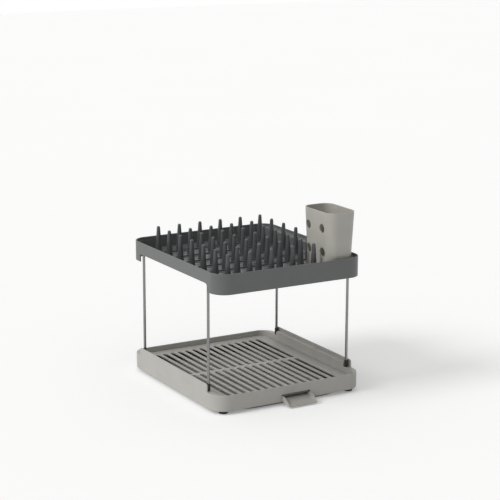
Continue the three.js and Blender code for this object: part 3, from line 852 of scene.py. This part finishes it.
class RACK_OT_upper_tray(bpy.types.Operator):
    """Builds the upper tray with its side cut-outs and deck slots"""

    bl_idname = "rack.upper_tray"
    bl_label = "Upper tray"

    def execute(self, context):
        sizes = context.scene.rack_sizes
        tray = upper_shell(sizes)
        for _, sign in SIDES:
            combine(tray, side_cut_out(sizes, sign), "DIFFERENCE")
        soften(tray, 0.00045, 2, 50)
        deck = UPPER[1].z - sizes.deck_depth
        step = sizes.row_step
        for side in (-1, 1):
            cutter = slot_cutter("deck_slots", sizes.deck_slot_length, sizes.deck_slot_width,
                                 deck - sizes.deck_thickness - 0.002, deck, 0.0006)
            cutter.data.transform(Matrix.Rotation(math.pi / 2, 4, "Z"))
            first = (-sizes.deck_slot_step,
                     MIDDLE_Y - 2.5 * step + side * sizes.deck_line_offset, 0)
            copies(cutter, 3, (sizes.deck_slot_step, 0, 0), 6, (0, step, 0), first,
                   "charcoal_plastic")
            combine(tray, cutter, "DIFFERENCE")
        complete(tray, "upper_tray_shell", "charcoal_plastic", "upper_tier", "upper_tray")
        return {"FINISHED"}


class RACK_OT_spikes(bpy.types.Operator):
    """Builds the seven rows of spikes that hold plates"""

    bl_idname = "rack.spikes"
    bl_label = "Spike rows"

    def execute(self, context):
        sizes = context.scene.rack_sizes
        foot, tip, rail = sizes.spike_foot, sizes.spike_tip, sizes.rail_height
        for row in range(1, 8):
            node = f"spike_row_{row}"
            low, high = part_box(node)
            middle_y = (low.y + high.y) / 2
            count = round((high.x - low.x - 2 * foot) / sizes.row_step) + 1
            height = high.z - low.z
            path = rounded_path([(foot, 0), (foot * 0.93, rail), (tip, height), (0.0002, height)],
                                [0, tip * 0.98], 8)
            spikes = lathe(node + "_spikes", path, 28)
            copies(spikes, count, (sizes.row_step, 0, 0), 1, (0, 0, 0),
                   (low.x + foot, middle_y, low.z), "spike_plastic")
            half = (high.x - low.x) / 2
            cap = 0.003
            profile = rounded_path([(cap, 0), (0, 0), (0, rail), (cap, rail)], [0.0003, 0.0009])
            base = loft(node + "_rail", inset_rings(half, foot, foot - 0.0001, profile, 8),
                        ((low.x + high.x) / 2, middle_y, low.z))
            combine(base, spikes, "UNION")
            complete(base, f"plate_spikes_{row}", "spike_plastic", "upper_tier", node)
        return {"FINISHED"}


class RACK_OT_cup(bpy.types.Operator):
    """Builds the cutlery cup with its side holes and drain holes"""

    bl_idname = "rack.cup"
    bl_label = "Cutlery cup"

    def execute(self, context):
        sizes = context.scene.rack_sizes
        half_x, half_y = (CUP[1].x - CUP[0].x) / 2, (CUP[1].y - CUP[0].y) / 2
        middle = (CUP[0] + CUP[1]) / 2
        tall, corner, wall = CUP[1].z - CUP[0].z, sizes.cup_corner, sizes.cup_wall
        base, cap = 0.0024, 0.012
        profile = rounded_path(
            [(cap, 0), (0, 0), (0, tall), (wall, tall), (wall, base), (cap, base)],
            [0.0018, 0.0007, 0.0007, 0.0025])
        rings = inset_rings(half_x, half_y, corner, profile, 12, 0.0015)
        for point in sum(rings, []):
            point.xy *= 1 - sizes.cup_taper * (1 - point.z / tall)
        cup = loft("cup_shell", rings, (middle.x, middle.y, CUP[0].z))
        hole = lathe("cup_holes", [(sizes.cup_hole, -0.04), (sizes.cup_hole, 0.04)], 40)
        hole.data.transform(Matrix.Rotation(math.pi / 2, 4, "Y"))
        copies(hole, 2, (0, sizes.cup_hole_step, 0), 2, (0, 0, sizes.cup_hole_rise),
               (middle.x, middle.y - sizes.cup_hole_front, CUP[0].z + sizes.cup_hole_low),
               "cup_plastic")
        combine(cup, hole, "DIFFERENCE")
        step = sizes.cup_drain_step
        drain = lathe("cup_drains", [(sizes.cup_drain, -0.003), (sizes.cup_drain, 0.006)], 20)
        copies(drain, 2, (step, 0, 0), 4, (0, step, 0),
               (middle.x - step / 2, middle.y - step * 1.5, CUP[0].z), "cup_plastic")
        combine(cup, drain, "DIFFERENCE")
        soften(cup, 0.0004, 2, 50)
        complete(cup, "cutlery_cup_shell", "cup_plastic", "cup", "cutlery_cup")
        return {"FINISHED"}


class RACK_OT_legs(bpy.types.Operator):
    """Builds the two bent wire frames with their tips"""

    bl_idname = "rack.legs"
    bl_label = "Wire legs"

    def execute(self, context):
        sizes = context.scene.rack_sizes
        for side, _ in SIDES:
            low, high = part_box(f"{side}_leg_wire")
            x = (low.x + high.x) / 2
            front, back, top = low.y + sizes.wire, high.y - sizes.wire, high.z - sizes.wire
            mesh = bpy.data.meshes.new(f"{side}_wire_path")
            corners = [(x, front, low.z), (x, front, top), (x, back, top), (x, back, low.z)]
            mesh.from_pydata(corners, [(0, 1), (1, 2), (2, 3)], [])
            wire = add_object(f"{side}_wire_path", mesh)
            grow(wire, bent_wire, {
                "Wire Radius": sizes.wire, "Bend Radius": sizes.wire_bend,
                "Material": finish_of("leg_steel")})
            complete(wire, f"{side}_bent_wire", "leg_steel", f"{side}_leg", f"{side}_leg_wire")
            for end in ENDS:
                self.tip(sizes, side, end)
        return {"FINISHED"}

    def tip(self, sizes, side, end):
        """One plastic tip round the end of a wire."""
        node = f"{side}_{end}_leg_tip"
        low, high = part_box(node)
        radius, middle = (high.x - low.x) / 2, (low + high) / 2
        bore, tall, floor, pole = sizes.wire + PLAY, high.z - low.z, 0.002, 0.0003
        path = rounded_path([(pole, 0), (radius, 0), (radius, tall), (bore, tall),
                             (bore, floor), (pole, floor)], [0.0011, 0.0003, 0.0002, 0])
        made = lathe(node + "_turned", path, 32, (middle.x, middle.y, low.z))
        complete(made, f"{side}_{end}_wire_tip", "tip_plastic", f"{side}_leg", node)


class RACK_OT_clips(bpy.types.Operator):
    """Builds the four holders in which the wires turn under the side shelves"""

    bl_idname = "rack.clips"
    bl_label = "Wire holders"

    def execute(self, context):
        wire, reach = context.scene.rack_sizes.wire, 0.012
        level, wire_x = WIRE[1].z - wire, (WIRE[0].x + WIRE[1].x) / 2
        for side, end, sign in CORNERS:
            node = f"{side}_{end}_wire_clip"
            low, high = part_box(node)
            outline = [(low.y, low.z), (high.y, low.z), (high.y, high.z), (low.y, high.z)]
            made = soften(prism(node + "_block", outline, low.x, high.x), 0.0003)
            hole = lathe(node + "_bore", [(wire + PLAY, -reach), (wire + PLAY, reach)], 32)
            place = Matrix.Translation((sign * wire_x, (low.y + high.y) / 2, level))
            hole.data.transform(place @ Matrix.Rotation(math.pi / 2, 4, "X"))
            combine(made, hole, "DIFFERENCE")
            complete(made, f"{side}_{end}_wire_holder", "charcoal_plastic", "upper_tier", node)
        return {"FINISHED"}


# Stage


def seen_directly(tree):
    """One for rays from the camera, from a gloss or through something clear, else nought."""
    seen = tree.nodes.new("ShaderNodeLightPath")
    clear = maths(tree, "MAXIMUM", seen.outputs["Is Camera Ray"],
                  seen.outputs["Is Transmission Ray"])
    return maths(tree, "MAXIMUM", clear, seen.outputs["Is Glossy Ray"])


def floor_material(base):
    """A pale matt floor that keeps the shadow and looks nearly white."""
    made, tree, shader, place = new_material("pale_floor", base)
    cloud = place_group(tree, moulded_grain, place, {"Grain Size": 0.05, "Wave Size": 0.6})
    body = mix_colours(tree, cloud.outputs["Mottle"], shade(base, 0.995), shade(base, 1.005))
    tree.links.new(body, shader.inputs["Base Color"])
    shader.inputs["Roughness"].default_value = 0.9
    shader.inputs["Specular IOR Level"].default_value = 0.2
    glow = maths(tree, "MULTIPLY", seen_directly(tree), 0.24)
    shader.inputs["Emission Color"].default_value = WHITE
    tree.links.new(glow, shader.inputs["Emission Strength"])
    return made


def studio_world():
    """Soft studio light: brighter on the left, white where the camera or a gloss sees it."""
    world = bpy.data.worlds.new("studio")
    world.use_nodes = True
    tree = world.node_tree
    ground = tree.nodes["Background"]
    ground.inputs["Color"].default_value = WHITE
    place = tree.nodes.new("ShaderNodeTexCoord")
    aim = add_node(tree, "ShaderNodeVectorMath", {"operation": "DOT_PRODUCT"},
                   values={1: (-0.86, 0.20, 0.47)}, links={0: place.outputs["Generated"]})
    level = add_node(tree, "ShaderNodeMapRange", values={
        "From Min": -0.7, "From Max": 1.0, "To Min": 0.26, "To Max": 0.72},
        links={"Value": aim.outputs["Value"]})
    strength = add_node(tree, "ShaderNodeMix", links={
        "Factor": seen_directly(tree), "A": level.outputs[0]}, values={"B": 1.0})
    tree.links.new(strength.outputs["Result"], ground.inputs["Strength"])
    bpy.context.scene.world = world


class RACK_OT_stage(bpy.types.Operator):
    """Builds the floor, the light and the camera"""

    bl_idname = "rack.stage"
    bl_label = "Stage"

    def execute(self, context):
        scene = context.scene
        reach = 8.0
        mesh = bpy.data.meshes.new("pale_floor")
        corners = [(-reach, -reach, 0), (reach, -reach, 0), (reach, reach, 0), (-reach, reach, 0)]
        mesh.from_pydata(corners, [], [(0, 1, 2, 3)])
        floor = add_object("pale_floor", mesh)
        mesh.materials.append(floor_material(tuple(scene.rack_colours.floor)))
        studio_world()
        lamp = bpy.data.lights.new("window_light", "SUN")
        lamp.energy = 1.35
        lamp.angle = math.radians(24)
        sun = bpy.data.objects.new("window_light", lamp)
        sun.rotation_mode = "QUATERNION"
        sun.rotation_quaternion = Vector((-0.80, 0.10, 0.62)).to_track_quat("Z", "Y")
        scene.collection.objects.link(sun)
        self.camera(scene)
        scene.view_settings.view_transform = "Standard"
        return {"FINISHED"}

    def camera(self, scene):
        """The camera at the photograph's angle."""
        back = Vector((-0.4899, -0.8423, 0.2248)).normalized()
        right = Vector((0.8645, -0.5027, 0.0)).normalized()
        level = Matrix((right, back.cross(right).normalized(), back)).transposed()
        data = bpy.data.cameras.new("camera")
        data.sensor_width = 36.0
        data.lens = 115.19
        data.clip_start, data.clip_end = 0.05, 50.0
        camera = bpy.data.objects.new("camera", data)
        roll = Matrix.Rotation(math.radians(0.196), 4, "Z")
        place = Matrix.Translation((-1.4146, -2.4516 + MIDDLE_Y, 0.8977))
        camera.matrix_world = place @ level.to_4x4() @ roll
        scene.collection.objects.link(camera)
        scene.camera = camera


class RACK_PT_panel(bpy.types.Panel):
    """Buttons for the pieces of the rack"""

    bl_idname = "RACK_PT_panel"
    bl_label = "Dish rack"
    bl_space_type = "VIEW_3D"
    bl_region_type = "UI"
    bl_category = "Dish rack"

    def draw(self, context):
        for step in STEPS:
            self.layout.operator(step.bl_idname)
        for group in (context.scene.rack_sizes, context.scene.rack_colours):
            column = self.layout.column()
            for name in group.bl_rna.properties.keys():
                if name not in ("rna_type", "name"):
                    column.prop(group, name)


STEPS = (
    RACK_OT_drip_tray, RACK_OT_drain_panel, RACK_OT_spout, RACK_OT_feet, RACK_OT_upper_tray,
    RACK_OT_spikes, RACK_OT_cup, RACK_OT_legs, RACK_OT_clips, RACK_OT_stage,
)
CLASSES = (RackSizes, RackColours) + STEPS + (RACK_PT_panel,)


def register():
    for item in CLASSES:
        bpy.utils.register_class(item)
    bpy.types.Scene.rack_sizes = PointerProperty(type=RackSizes)
    bpy.types.Scene.rack_colours = PointerProperty(type=RackColours)


def unregister():
    del bpy.types.Scene.rack_colours
    del bpy.types.Scene.rack_sizes
    for item in reversed(CLASSES):
        bpy.utils.unregister_class(item)


def main():
    register()
    for step in STEPS:
        getattr(bpy.ops.rack, step.bl_idname.removeprefix("rack."))()


if __name__ == "__main__":
    main()
